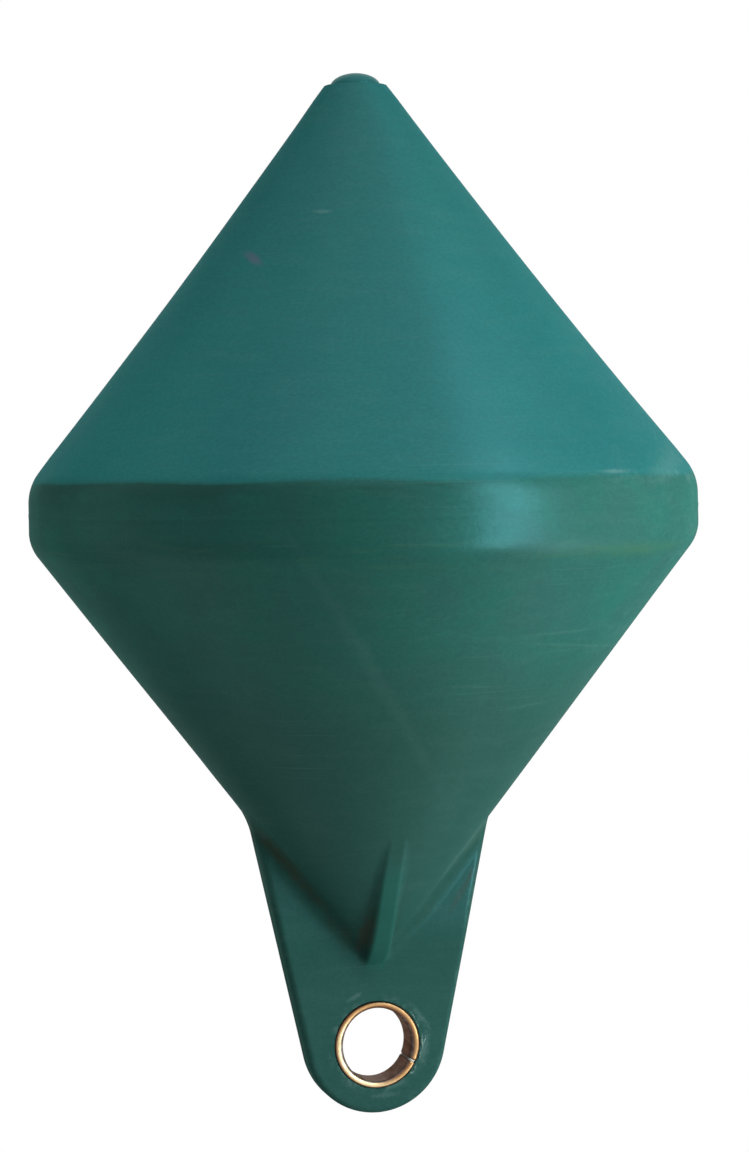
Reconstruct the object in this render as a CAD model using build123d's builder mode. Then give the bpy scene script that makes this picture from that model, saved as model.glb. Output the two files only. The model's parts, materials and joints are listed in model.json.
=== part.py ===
# Biconical marker and mooring buoy, moulded in one piece round a split metal bush.
# Millimetres. The origin is on the buoy's axis, in the plane of its widest line, which
# is where it floats. +Z is up, the mooring lug lies in the XZ plane and its eye is
# bored along Y. The front is the -Y side.
import os
from math import cos, radians, sin, tan

from build123d import *

# Float
float_radius = 200.0          # at the widest line, z = 0
band_above = 24.2             # widest line to the corner under the upper cone
band_below = 11.9             # widest line to the corner over the lower cone
band_draft = 0.5              # how much narrower the band is at either corner
band_round_above = 31.0       # radius of the corner under the upper cone
band_round_below = 25.0       # radius of the corner over the lower cone
upper_cone_height = 234.5     # from the band's upper corner to the cut-off top
upper_cone_bow = 1.7          # how far the upper cone bows in at half height
top_radius = 18.6             # of the cut-off top
top_edge_round = 1.2
lower_cone_depth = 262.1      # from the band's lower corner to the cone's own point
wall = 5.0
hollow_tip_round = 14.0       # where the moulding thickens over the lug

# Mooring lug
eye_drop = 41.5               # from the lower cone's own point down to the middle of the eye
lug_end_radius = 43.5
lug_end_rise = 1.5            # the round end's middle above the middle of the eye
lug_taper = 12.2              # degrees, each side edge from the vertical
lug_thickness = 19.5
lug_edge_round = 3.0
lug_flare_radius = 40.0       # where the side edges run out into the cone
lug_flare_sink = 1.2          # how far the flare's end lies inside the cone
lug_root_height = 30.0        # how far the lug's plate reaches above the flare
lug_root_round = 7.0          # in the corner between the lug's faces and the cone
seat_clearance = 0.3          # between the cone and what is seated on it

# Gusset ridges, one on each face of the lug
ridge_width = 14.0
ridge_foot_rise = 12.0        # from the cone's own point up to the crest's foot
ridge_foot_stand = 10.4       # how far the crest stands out of the cone at its foot
ridge_height = 79.0           # from the crest's foot up to where it fades into the cone
ridge_foot_drop = 9.0         # how much lower the foot ends, at the axis
ridge_foot_round = 9.0
ridge_edge_round = 3.0
ridge_bury = 12.0             # how far the crest's line runs on inside the cone

# Mooring bush, a wrapped strip whose ends nearly meet
bush_bore_radius = 21.6
bush_wall = 4.5
bush_clearance = 0.15         # round the bush in the lug's eye
bush_mouth_round = 2.4
bush_rim_round = 1.0          # on its outer edges
bush_proud = 0.8              # how far it stands out of the lug's faces
bush_gap = 1.8                # between the strip's two ends
bush_gap_angle = -27.0        # degrees, seen from the front, from +X towards +Z

# Filler plug
plug_hole_radius = 12.0
plug_clearance = 0.2          # round the stem in the filler hole
plug_head_radius = 15.3
plug_head_height = 7.4
plug_stem_length = 10.0

# Heights, slopes and radii that follow from the sizes above
top_z = band_above + upper_cone_height
apex_z = -(band_below + lower_cone_depth)
eye_z = apex_z - eye_drop
lug_end_z = eye_z + lug_end_rise
band_radius = float_radius - band_draft
lower_slope = band_radius / lower_cone_depth
bush_radius = bush_bore_radius + bush_wall
eye_radius = bush_radius + bush_clearance


def cone_radius(z):
    """Radius of the lower cone at a height z, straight from its point to the band."""
    return lower_slope * (z - apex_z)


# Half of the float's outline
with BuildSketch(Plane.XZ) as outline:
    with BuildLine():
        Polyline((0, top_z), (0, apex_z), (band_radius, -band_below), (float_radius, 0),
                 (band_radius, band_above))
        SagittaArc((band_radius, band_above), (top_radius, top_z), upper_cone_bow)
        Line((top_radius, top_z), (0, top_z))
    make_face()
    fillet(outline.vertices().sort_by_distance((band_radius, band_above))[0], band_round_above)
    fillet(outline.vertices().sort_by_distance((band_radius, -band_below))[0], band_round_below)
    fillet(outline.vertices().sort_by_distance((top_radius, top_z))[0], top_edge_round)

# The space inside: the same outline, mirrored, moved in by the wall and halved again
with BuildSketch(Plane.XZ) as hollow:
    add(outline.sketch_local)
    mirror(about=Plane.YZ)
    offset(amount=-wall)
    fillet(hollow.vertices().sort_by(Axis.Y)[0], hollow_tip_round)
    with Locations((-float_radius, 0)):
        Rectangle(2 * float_radius, 4 * float_radius, mode=Mode.SUBTRACT)

# The cone as what is seated on it sees it
with BuildSketch(Plane.XZ) as seat:
    add(outline.sketch_local)
    mirror(about=Plane.YZ)
    offset(amount=seat_clearance)
    with Locations((-float_radius, 0)):
        Rectangle(2 * float_radius, 4 * float_radius, mode=Mode.SUBTRACT)

# The lug's outline. Its side edges touch the round end, and the flares end just inside
# the cone, on a line that is moved in by lug_flare_sink.
side_touch_x = lug_end_radius * cos(radians(lug_taper))
side_touch_z = lug_end_z - lug_end_radius * sin(radians(lug_taper))
side_slope = tan(radians(lug_taper))
flare_z = ((side_touch_x - side_slope * side_touch_z + lug_flare_sink + lower_slope * apex_z)
           / (lower_slope - side_slope))
flare_x = cone_radius(flare_z) - lug_flare_sink
root_z = flare_z + lug_root_height
root_x = cone_radius(root_z) - lug_flare_sink
with BuildSketch(Plane.XZ) as lug_outline:
    with BuildLine():
        Polyline((-side_touch_x, side_touch_z), (-flare_x, flare_z), (-root_x, root_z),
                 (root_x, root_z), (flare_x, flare_z), (side_touch_x, side_touch_z))
        ThreePointArc((side_touch_x, side_touch_z), (0, lug_end_z - lug_end_radius),
                      (-side_touch_x, side_touch_z))
    make_face()
    flare_corners = [lug_outline.vertices().sort_by_distance((side * flare_x, flare_z))[0]
                     for side in (-1, 1)]
    fillet(flare_corners, lug_flare_radius)

# The front ridge's outline. Its crest runs on inside the cone.
foot_z = apex_z + ridge_foot_rise
foot_y = -cone_radius(foot_z) - ridge_foot_stand
fade_z = foot_z + ridge_height
crest_slope = (foot_y + cone_radius(fade_z)) / ridge_height
buried_z = fade_z + ridge_bury
buried_y = -cone_radius(fade_z) - crest_slope * ridge_bury
with BuildSketch(Plane.YZ) as ridge_outline:
    with BuildLine():
        Polyline((0, buried_z), (buried_y, buried_z), (foot_y, foot_z),
                 (0, foot_z - ridge_foot_drop), close=True)
    make_face()
    fillet(ridge_outline.vertices().sort_by_distance((foot_y, foot_z))[0], ridge_foot_round)

# The float: both cones and the band, hollow, with the filler hole in its top
with BuildPart() as float_shell:
    revolve(outline.sketch, axis=Axis.Z)
    revolve(hollow.sketch, axis=Axis.Z, mode=Mode.SUBTRACT)
    with BuildSketch(Plane.XY.offset(top_z)):
        Circle(plug_hole_radius)
    extrude(amount=-2 * wall, mode=Mode.SUBTRACT)
float_shell.part.label = "float_shell"

# The lug: a flat plate with rounded edges. The cone is added for the rounds in the
# corners between them, and then cut away again.
with BuildPart() as plate:
    extrude(lug_outline.sketch, amount=lug_thickness / 2, both=True)
    rims = plate.faces().filter_by(Axis.Y).edges()
    fillet([edge for edge in rims if edge.center().Z < root_z - 1], lug_edge_round)
with BuildPart() as mooring_lug:
    revolve(outline.sketch, axis=Axis.Z)
    add(plate.part)
    fillet(mooring_lug.edges().filter_by(GeomType.HYPERBOLA), lug_root_round)
    revolve(seat.sketch, axis=Axis.Z, mode=Mode.SUBTRACT)
    with BuildSketch(Plane.XZ):
        with Locations((0, eye_z)):
            Circle(eye_radius)
    extrude(amount=lug_thickness, both=True, mode=Mode.SUBTRACT)
mooring_lug.part.label = "mooring_lug"

# The two ridges, front and back, seated on the cone and on the lug
with BuildPart() as gusset_ridges:
    extrude(ridge_outline.sketch, amount=ridge_width / 2, both=True)
    rims = gusset_ridges.faces().filter_by(Axis.X).edges()
    fillet([edge for edge in rims if edge.center().Y < 0 and edge.center().Z < buried_z - 1],
           ridge_edge_round)
    mirror(about=Plane.XZ)
    revolve(seat.sketch, axis=Axis.Z, mode=Mode.SUBTRACT)
    add(mooring_lug.part, mode=Mode.SUBTRACT)
gusset_ridges.part.label = "gusset_ridges"

# The bush, standing just proud of the lug's faces
with BuildPart() as mooring_bush:
    with BuildSketch(Plane.XZ):
        with Locations((0, eye_z)):
            Circle(bush_radius)
            Circle(bush_bore_radius, mode=Mode.SUBTRACT)
    extrude(amount=lug_thickness / 2 + bush_proud, both=True)
    rims = mooring_bush.edges().filter_by(GeomType.CIRCLE).sort_by(SortBy.RADIUS)
    fillet(rims[:2], bush_mouth_round)
    rims = mooring_bush.edges().filter_by(GeomType.CIRCLE).sort_by(SortBy.RADIUS)
    fillet(rims[-2:], bush_rim_round)
    gap_middle = bush_bore_radius + bush_wall / 2
    gap_x = gap_middle * cos(radians(bush_gap_angle))
    gap_z = gap_middle * sin(radians(bush_gap_angle)) + eye_z
    with BuildSketch(Plane.XZ):
        with Locations(Location((gap_x, gap_z, 0), (0, 0, bush_gap_angle))):
            Rectangle(3 * bush_wall, bush_gap)
    extrude(amount=lug_thickness, both=True, mode=Mode.SUBTRACT)
mooring_bush.part.label = "mooring_bush"

# The plug: a domed head on the cut-off top, over a stem in the filler hole
with BuildPart() as filler_plug:
    with BuildSketch(Plane.XZ):
        with BuildLine():
            Line((0, top_z + plug_head_height), (0, top_z - plug_stem_length))
            Polyline((0, top_z - plug_stem_length),
                     (plug_hole_radius - plug_clearance, top_z - plug_stem_length),
                     (plug_hole_radius - plug_clearance, top_z), (plug_head_radius, top_z))
            dome_radius = ((plug_head_radius ** 2 + plug_head_height ** 2)
                           / (2 * plug_head_height))
            RadiusArc((0, top_z + plug_head_height), (plug_head_radius, top_z), dome_radius)
        make_face()
    revolve(axis=Axis.Z)
filler_plug.part.label = "filler_plug"

os.makedirs("parts", exist_ok=True)
export_step(float_shell.part, "parts/float_shell.step")
export_step(mooring_lug.part, "parts/mooring_lug.step")
export_step(gusset_ridges.part, "parts/gusset_ridges.step")
export_step(mooring_bush.part, "parts/mooring_bush.step")
export_step(filler_plug.part, "parts/filler_plug.step")
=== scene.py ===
# %% [markdown]
# # A double-cone mooring buoy
#
# This lesson dresses a finished CAD model of a small green navigation buoy. The real
# thing is moulded in one piece from polyethylene: two cones, base to base, with a narrow
# band between them and a flat mooring lug below. A metal bush is pressed into the lug's
# eye and a domed plug closes the top.
#
# The CAD model fixes every size. Here it gets the skin that the real moulding has: soft
# rounds where its forms meet, faint waves in its faces, scuffs, fading and worn brass.

# %% Load the CAD model as a fixed frame
import json

import bmesh
import bpy
import numpy as np
from mathutils import Matrix, Vector


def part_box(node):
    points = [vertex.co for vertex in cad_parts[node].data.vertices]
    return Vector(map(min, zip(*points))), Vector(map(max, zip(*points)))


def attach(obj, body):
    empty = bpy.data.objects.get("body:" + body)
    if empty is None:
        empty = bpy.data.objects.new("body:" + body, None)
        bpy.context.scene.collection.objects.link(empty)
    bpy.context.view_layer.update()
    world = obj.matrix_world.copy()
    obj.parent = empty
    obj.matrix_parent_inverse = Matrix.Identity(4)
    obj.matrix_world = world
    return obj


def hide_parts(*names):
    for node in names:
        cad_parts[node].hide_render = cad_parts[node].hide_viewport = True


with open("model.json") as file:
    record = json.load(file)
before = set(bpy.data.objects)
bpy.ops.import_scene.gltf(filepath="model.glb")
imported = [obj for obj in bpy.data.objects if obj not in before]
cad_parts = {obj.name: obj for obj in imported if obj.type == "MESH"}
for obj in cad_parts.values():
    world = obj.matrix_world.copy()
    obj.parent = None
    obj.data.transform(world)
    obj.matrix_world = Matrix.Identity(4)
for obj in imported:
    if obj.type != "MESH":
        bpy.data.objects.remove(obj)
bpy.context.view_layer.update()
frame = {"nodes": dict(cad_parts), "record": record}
print("CAD nodes:", sorted(frame["nodes"]))

# %% [markdown]
# ## Sizes
#
# Blender works in metres here. What the CAD model already says is read from its boxes and
# from the mount that its record lists, so the skin can't drift away from it. The rounds
# and slopes inside those boxes are given again as named values.

# %% Read the driving sizes from the frame
float_low, float_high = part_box("float_shell")
lug_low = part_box("mooring_lug")[0]
bush_low, bush_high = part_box("mooring_bush")
plug_low, plug_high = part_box("filler_plug")
mounts = {mount["name"]: mount for mount in frame["record"]["mounts"]}

FLOAT_RADIUS = float_high.x
TOP_Z = float_high.z
CONE_POINT_Z = float_low.z
EYE_Z = mounts["mooring_eye"]["pos_m"][2]
BUSH_BORE = mounts["mooring_eye"]["dims"]["r_mm"] / 1000
BUSH_RADIUS = (bush_high.x - bush_low.x) / 2
BUSH_HALF_LENGTH = bush_high.y
LUG_END_Z = EYE_Z + 0.0015       # the round end's middle, just above the eye's
LUG_END_RADIUS = LUG_END_Z - lug_low.z
PLUG_TOP_Z = plug_high.z
PLUG_BOTTOM_Z = plug_low.z
PLUG_RADIUS = plug_high.x - 0.0004    # a rounder edge than the CAD model's
print(f"float {2 * FLOAT_RADIUS:.3f} m wide, eye {-EYE_Z:.4f} m below the widest line")

# %% Name the sizes inside the boxes
BAND_ABOVE = 0.0242          # widest line to the corner under the upper cone
BAND_BELOW = 0.0119          # widest line to the corner over the lower cone
BAND_RADIUS = FLOAT_RADIUS - 0.0005
BAND_ROUND_ABOVE = 0.031
BAND_ROUND_BELOW = 0.025
TOP_RADIUS = 0.0186
TOP_EDGE_ROUND = 0.0008
UPPER_CONE_BOW = 0.0017      # how far the upper cone bows in at half height
PLUG_HOLE_RADIUS = 0.012

LUG_HALF_THICKNESS = 0.00975
LUG_TAPER = np.radians(12.2)
LUG_EDGE_ROUND = 0.0042
LUG_FLARE_ROUND = 0.050      # where the lug's side edges run out into the cone
LUG_FLARE_SINK = 0.0003      # how far the flare's end lies inside the cone
LUG_ROOT_ROUND = 0.011

RIDGE_HALF_WIDTH = 0.007
RIDGE_FOOT_RISE = 0.012      # from the cone's own point up to the crest's foot
RIDGE_FOOT_STAND = 0.0104    # how far the crest stands out of the cone at its foot
RIDGE_HEIGHT = 0.079
RIDGE_FOOT_DROP = 0.009
RIDGE_FOOT_ROUND = 0.009
RIDGE_EDGE_ROUND = 0.0032
RIDGE_ROOT_ROUND = 0.0045

CONE_SLOPE = BAND_RADIUS / (-BAND_BELOW - CONE_POINT_Z)
CONE_TILT = np.arctan(CONE_SLOPE)
print(f"the lower cone opens {np.degrees(CONE_TILT):.1f} degrees to each side")

# %% [markdown]
# ## The moulded skin as distances
#
# The lug, the lower cone and the two ridges flow into each other with soft fillets. That
# could be modelled with booleans and bevels, but bevels on such crossings tear. Instead
# each form is a distance function: negative inside, zero on the surface, positive
# outside. Two distances can be joined with a fillet, or cut with a rounded edge, by a
# short formula. It is exact between flat faces, and very nearly so between the gently
# curved ones here.

# %% Join and cut distances
def joined(first, second, angle_cosine, radius):
    """Distance to two solids joined by a fillet of one radius.

    The fillet's centre is one radius away from both surfaces. A point's two distances
    and the cosine between the surfaces' normals give how far it is from that centre by
    the law of cosines, and the fillet is what lies further away than the radius. The
    cosine is held away from 1 and -1, where the surfaces are parallel and have no corner.
    """
    to_first = radius - first
    to_second = radius - second
    cosine = np.clip(angle_cosine, -0.95, 0.985)
    squares = to_first * to_first + to_second * to_second - 2 * cosine * to_first * to_second
    reach = np.sqrt(np.maximum(squares, 0) / (1 - cosine * cosine))
    in_corner = (to_first > cosine * to_second) & (to_second > cosine * to_first)
    return np.where(in_corner, radius - reach, np.minimum(first, second))


def shared(first, second, radius):
    """Distance to what two solids share, with the edge between them rounded.

    Each distance grows by the radius, what is left above zero is added as the legs of a
    right triangle, and the radius comes off again.
    """
    first_leg = np.maximum(radius + first, 0)
    second_leg = np.maximum(radius + second, 0)
    return np.minimum(-radius, np.maximum(first, second)) + np.hypot(first_leg, second_leg)


def normal_of(distance, x, y, z, step=1e-5):
    """Direction in which a distance grows fastest, from small steps along x, y and z."""
    here = distance(x, y, z)
    slopes = (distance(x + step, y, z) - here,
              distance(x, y + step, z) - here,
              distance(x, y, z + step) - here)
    length = np.sqrt(sum(slope ** 2 for slope in slopes)) + 1e-12
    return [slope / length for slope in slopes]


def filleted(first, second, radius):
    """Two distance functions made into one, joined by a fillet."""
    def distance(x, y, z):
        first_normal = normal_of(first, x, y, z)
        second_normal = normal_of(second, x, y, z)
        cosine = sum(one * other for one, other in zip(first_normal, second_normal))
        return joined(first(x, y, z), second(x, y, z), cosine, radius)
    return distance

# %% The distances of the cone, the lug and the ridges
def cone_distance(x, y, z):
    """Radius less the cone's radius at that height, measured square to the cone."""
    return (np.hypot(x, y) - CONE_SLOPE * (z - CONE_POINT_Z)) * np.cos(CONE_TILT)


def lug_outline_distance(x, z):
    """Distance to the lug's outline in its own plane: a round end with tangent sides
    that taper, joined by a wide fillet to a line just inside the cone's side."""
    across = np.abs(x)
    up = z - LUG_END_Z
    along_side = across * np.sin(LUG_TAPER) + up * np.cos(LUG_TAPER)
    side = across * np.cos(LUG_TAPER) - up * np.sin(LUG_TAPER) - LUG_END_RADIUS
    end = np.hypot(across, up) - LUG_END_RADIUS
    tapered = np.where(along_side > 0, side, end)
    flare_line = (across + LUG_FLARE_SINK - CONE_SLOPE * (z - CONE_POINT_Z)) * np.cos(CONE_TILT)
    return joined(tapered, flare_line, np.cos(CONE_TILT - LUG_TAPER), LUG_FLARE_ROUND)


def lug_distance(x, y, z):
    """What the outline and the space between the two faces share, edges rounded."""
    faces = np.abs(y) - LUG_HALF_THICKNESS
    return shared(faces, lug_outline_distance(x, z), LUG_EDGE_ROUND)


# The crest runs from its foot to where it fades into the cone.
RIDGE_FOOT_Z = CONE_POINT_Z + RIDGE_FOOT_RISE
RIDGE_FOOT_Y = CONE_SLOPE * RIDGE_FOOT_RISE + RIDGE_FOOT_STAND
fade_y = CONE_SLOPE * (RIDGE_FOOT_RISE + RIDGE_HEIGHT)
CREST_TILT = np.arctan((fade_y - RIDGE_FOOT_Y) / RIDGE_HEIGHT)
FOOT_TILT = np.arctan(RIDGE_FOOT_DROP / RIDGE_FOOT_Y)


def ridge_distance(x, y, z):
    """The space under a straight crest and over a sloping foot, no wider than the ridge.
    Front and back ridge are the same form, so y counts by its size only."""
    out = np.abs(y)
    crest = (out - RIDGE_FOOT_Y) * np.cos(CREST_TILT) - (z - RIDGE_FOOT_Z) * np.sin(CREST_TILT)
    foot = (RIDGE_FOOT_Z - z) * np.cos(FOOT_TILT) - (RIDGE_FOOT_Y - out) * np.sin(FOOT_TILT)
    side = np.abs(x) - RIDGE_HALF_WIDTH
    return shared(shared(crest, foot, RIDGE_FOOT_ROUND), side, RIDGE_EDGE_ROUND)


body_distance = filleted(filleted(cone_distance, lug_distance, LUG_ROOT_ROUND),
                         ridge_distance, RIDGE_ROOT_ROUND)
print(f"the ridge's crest leans {np.degrees(CREST_TILT):.1f} degrees")

# %% [markdown]
# ## A grid laid over the skin
#
# Seen from the axis, every point of the skin lies on one ray: no form hides another. So
# the skin is a function of two parameters, the height and the way round. For the lower
# part each ray is halved again and again until it ends on the surface, all rays at once.
# The points of one height are then spread evenly along their outline, which puts as many
# on the thin lug as on the wide cone.

# %% Trace the lower part
COLUMNS = 384                # points round the buoy, a multiple of eight
QUARTER = COLUMNS // 4
JOIN_Z = -0.150              # above this height the skin is a plain turned form
FILLETS_LOW_Z = -0.284       # the fillets and the ridges lie between these two heights
FILLETS_HIGH_Z = -0.172


def heights_of_lower_part():
    """Heights that follow the round end by equal angles and are dense at the fillets."""
    quarter_turn = np.radians(np.linspace(89.2, -12.0, 44))
    round_end = LUG_END_Z - LUG_END_RADIUS * np.sin(quarter_turn)
    plain = np.linspace(round_end[-1], FILLETS_LOW_Z, 18)[1:]
    fillets = np.linspace(FILLETS_LOW_Z, FILLETS_HIGH_Z, 76)[1:]
    cone = np.linspace(FILLETS_HIGH_Z, JOIN_Z, 5)[1:]
    return np.concatenate([round_end, plain, fillets, cone])


def trace(heights, angles, reach=0.12, halvings=20):
    """Radius at which each ray from the axis leaves the skin, by halving the stretch
    that holds the crossing: the half whose ends differ in sign is kept each time."""
    z = heights[:, None] + 0 * angles
    near = np.zeros_like(z)
    far = np.full_like(z, reach)
    for _ in range(halvings):
        middle = (near + far) / 2
        inside = body_distance(middle * np.cos(angles), middle * np.sin(angles), z) < 0
        near = np.where(inside, middle, near)
        far = np.where(inside, far, middle)
    return (near + far) / 2


def spread_evenly(angles, radii, count):
    """Angles that divide each row's outline into equal lengths.

    The rows' lengths are set end to end, with a gap of one between rows, so that a
    single interpolation over the flat arrays serves every row.
    """
    x = radii * np.cos(angles)
    y = radii * np.sin(angles)
    steps = np.hypot(np.diff(x), np.diff(y))
    lengths = np.concatenate([np.zeros((len(radii), 1)), np.cumsum(steps, 1)], 1)
    lengths /= lengths[:, -1:]
    row = 2.0 * np.arange(len(radii))[:, None]
    wanted = row + np.linspace(0, 1, count + 1)[None, :]
    every_angle = np.broadcast_to(angles, radii.shape)
    return np.interp(wanted.ravel(), (lengths + row).ravel(),
                     every_angle.ravel()).reshape(wanted.shape)


lower_heights = heights_of_lower_part()
fine_angles = np.linspace(0, np.pi / 2, 721)
even_angles = spread_evenly(fine_angles, trace(lower_heights, fine_angles), QUARTER)
even_radii = trace(lower_heights, even_angles)
print(f"lower part: {len(lower_heights)} heights, {COLUMNS} points round each")

# %% Mirror the traced quarter all the way round
def all_round(quarter, sign):
    """A quarter's columns continued to a full turn: there, back, there and back again.
    The sign says how the value changes each time it is mirrored."""
    forth = quarter[:, :-1]
    back = quarter[:, :0:-1]
    first, second, third, fourth = sign
    return np.concatenate([first * forth, second * back, third * forth, fourth * back], 1)


quarter_x = even_radii * np.cos(even_angles)
quarter_y = even_radii * np.sin(even_angles)
lower_x = all_round(quarter_x, (1, -1, -1, 1))
lower_y = all_round(quarter_y, (1, 1, -1, -1))
lower_z = np.repeat(lower_heights[:, None], COLUMNS, 1)
lower_grid = np.stack([lower_x, lower_y, lower_z], 2)
print("lower grid:", lower_grid.shape)

# %% [markdown]
# ## The turned upper part
#
# Above the lug the buoy is a turned form, so it needs only half an outline. Each corner
# of the outline becomes an arc that touches both of its legs. The outline ends in the
# filler hole under the plug, which closes the skin at the top.

# %% Round the outline's corners
def corner_arc(before, corner, after, radius, count):
    """Points of the arc that touches both legs of a corner.

    The centre lies on the line that halves the corner, one radius divided by the sine
    of half the angle away, and the arc turns from one touching point to the other.
    """
    before, corner, after = (np.array(point, float) for point in (before, corner, after))
    to_before = (before - corner) / np.linalg.norm(before - corner)
    to_after = (after - corner) / np.linalg.norm(after - corner)
    half = np.arccos(to_before @ to_after) / 2
    middle = (to_before + to_after) / np.linalg.norm(to_before + to_after)
    centre = corner + middle * radius / np.sin(half)
    start, end = (corner + leg * radius / np.tan(half) - centre for leg in (to_before, to_after))
    first = np.arctan2(start[1], start[0])
    turn = (np.arctan2(end[1], end[0]) - first + np.pi) % (2 * np.pi) - np.pi
    angles = first + turn * np.linspace(0, 1, count)
    return centre + radius * np.stack([np.cos(angles), np.sin(angles)], 1)


def run(start, end, count):
    """Points inside a straight stretch, without its two ends."""
    share = np.linspace(0, 1, count + 2)[1:-1, None]
    return np.array(start) * (1 - share) + np.array(end) * share


join_point = (CONE_SLOPE * (JOIN_Z - CONE_POINT_Z), JOIN_Z)
band_bottom = (BAND_RADIUS, -BAND_BELOW)
band_top = (BAND_RADIUS, BAND_ABOVE)
top_corner = (TOP_RADIUS, TOP_Z)
hole_mouth = (PLUG_HOLE_RADIUS, TOP_Z)
POCKET_Z = PLUG_BOTTOM_Z - 0.0004    # the filler hole's floor, just under the plug

lower_corner = corner_arc(join_point, band_bottom, (FLOAT_RADIUS, 0), BAND_ROUND_BELOW, 14)
upper_corner = corner_arc((FLOAT_RADIUS, 0), band_top, top_corner, BAND_ROUND_ABOVE, 16)
top_edge = corner_arc(band_top, top_corner, hole_mouth, TOP_EDGE_ROUND, 5)

# %% Put the outline together and turn it
upper_cone = run(upper_corner[-1], top_edge[0], 26)
chord = upper_cone[-1] - upper_cone[0]
inward = np.array([-chord[1], chord[0]]) / np.linalg.norm(chord)
along = np.linspace(0, 1, len(upper_cone))[:, None]
upper_cone = upper_cone + inward * UPPER_CONE_BOW * 4 * along * (1 - along)

outline = np.concatenate([
    run(join_point, lower_corner[0], 12), lower_corner,
    run(lower_corner[-1], upper_corner[0], 22), upper_corner,
    upper_cone, top_edge,
    run(top_edge[-1], hole_mouth, 2), [hole_mouth, (PLUG_HOLE_RADIUS, POCKET_Z)]])


def turned(outline, columns):
    """A half outline turned about Z: radius and height at every point of the round."""
    angles = 2 * np.pi * np.arange(columns) / columns
    radius = outline[:, 0][:, None]
    return np.stack([radius * np.cos(angles), radius * np.sin(angles),
                     np.repeat(outline[:, 1][:, None], columns, 1)], 2)


skin_grid = np.concatenate([lower_grid, turned(outline, COLUMNS)])
ROWS = len(skin_grid)
print(f"skin grid: {ROWS} rows of {COLUMNS} points")

# %% [markdown]
# ## Faint waves and the mould's parting line
#
# A rotomoulded wall cools unevenly, so its faces aren't perfectly true: they sink in by
# a few tenths of a millimetre here and there, which shows in the highlights. The two
# halves of the mould also leave a faint raised line round the band. Both are moves along
# the skin's normals, and neither moves outwards past the CAD model's widest line.

# %% Move the skin along its normals
WAVE_DEPTH = 0.0005          # how deep a hollow can be
WAVE_LENGTHS = (0.31, 0.23, 0.17, 0.13, 0.11, 0.09, 0.075)
PARTING_Z = 0.0065
PARTING_WIDTH = 0.0011       # to each side, where the line is down to about a third
PARTING_HEIGHT = 0.00028


def grid_normals(grid):
    """Normals of a grid that closes round: cross products of the steps along its rows
    and up its columns. Rows run clockwise seen from below, so this points outwards."""
    round_step = np.roll(grid, -1, 1) - np.roll(grid, 1, 1)
    up_step = np.gradient(grid, axis=0)
    normals = np.cross(round_step, up_step)
    return normals / (np.linalg.norm(normals, axis=2, keepdims=True) + 1e-12)


def waves(points, lengths, seed):
    """Mean of sine waves of the given lengths, each with a direction and a start drawn
    at random from the seed. It lies between -1 and 1 and is smooth everywhere."""
    draw = np.random.default_rng(seed)
    directions = draw.normal(size=(len(lengths), 3))
    directions /= np.linalg.norm(directions, axis=1, keepdims=True)
    starts = draw.uniform(0, 2 * np.pi, len(lengths))
    turns = 2 * np.pi * (points @ directions.T) / np.array(lengths)
    return np.sin(turns + starts).mean(-1)


skin_height = skin_grid[..., 2]
skin_radius = np.hypot(skin_grid[..., 0], skin_grid[..., 1])
sunk = WAVE_DEPTH * (0.5 + 0.5 * waves(skin_grid, WAVE_LENGTHS, seed=4))
sunk = sunk * np.clip((TOP_Z - 0.002 - skin_height) / 0.02, 0, 1)
near_line = np.exp(-((skin_height - PARTING_Z) / PARTING_WIDTH) ** 2)
line_height = PARTING_HEIGHT * (0.75 + 0.25 * waves(skin_grid, (0.06, 0.045, 0.09), seed=9))
moved = skin_grid + grid_normals(skin_grid) * (near_line * line_height - sunk)[..., None]
# the filler hole's rows stay as they are
turned_in = (skin_radius <= PLUG_RADIUS) & (skin_height > TOP_Z - 0.02)
skin_grid = np.where(turned_in[..., None], skin_grid, moved)
print(f"deepest hollow {sunk.max() * 1000:.2f} mm, parting line {line_height.max() * 1000:.2f} mm")

# %% [markdown]
# ## The eye in the lug
#
# The grid passes straight over the place where the eye goes. A boolean would cut it, but
# it would leave slivers round the rim. Here the grid's faces in a window round the eye
# are left out instead, front and back, and a new sleeve of rings joins the two windows:
# from the window's edge in to a circle, over a rounded lip and through the lug.

# %% Name the window and the sleeve
EYE_RADIUS = BUSH_RADIUS + 0.00015    # the CAD model's clearance round the bush
EYE_LIP_ROUND = 0.0009
WINDOW_REACH = 0.0315        # from the eye's middle up and down to the window's edge
WINDOW_COLUMNS = 62          # columns from the lug's middle to the window's side

FRONT_COLUMN = 3 * QUARTER   # the column that runs down the middle of the front
BACK_COLUMN = QUARTER
in_window = np.abs(skin_height[:, 0] - EYE_Z) < WINDOW_REACH
window_rows = np.flatnonzero(in_window)
bottom_row, top_row = window_rows[0], window_rows[-1]


def window_edge(middle_column, direction):
    """Row and column numbers once round a window, starting at its bottom left as seen
    from the front. The direction is +1 where columns run to the right."""
    rows = np.arange(bottom_row, top_row)
    steps = direction * np.arange(-WINDOW_COLUMNS, WINDOW_COLUMNS)
    left = middle_column - direction * WINDOW_COLUMNS
    right = middle_column + direction * WINDOW_COLUMNS
    row_list = [np.full(len(steps), bottom_row), rows, np.full(len(steps), top_row),
                rows[::-1] + 1]
    column_list = [middle_column + steps, np.full(len(rows), right),
                   middle_column - steps, np.full(len(rows), left)]
    return np.concatenate(row_list), np.concatenate(column_list)


front_edge = window_edge(FRONT_COLUMN, 1)
back_edge = window_edge(BACK_COLUMN, -1)
print(f"window: rows {bottom_row} to {top_row}, {len(front_edge[0])} points round")

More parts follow.
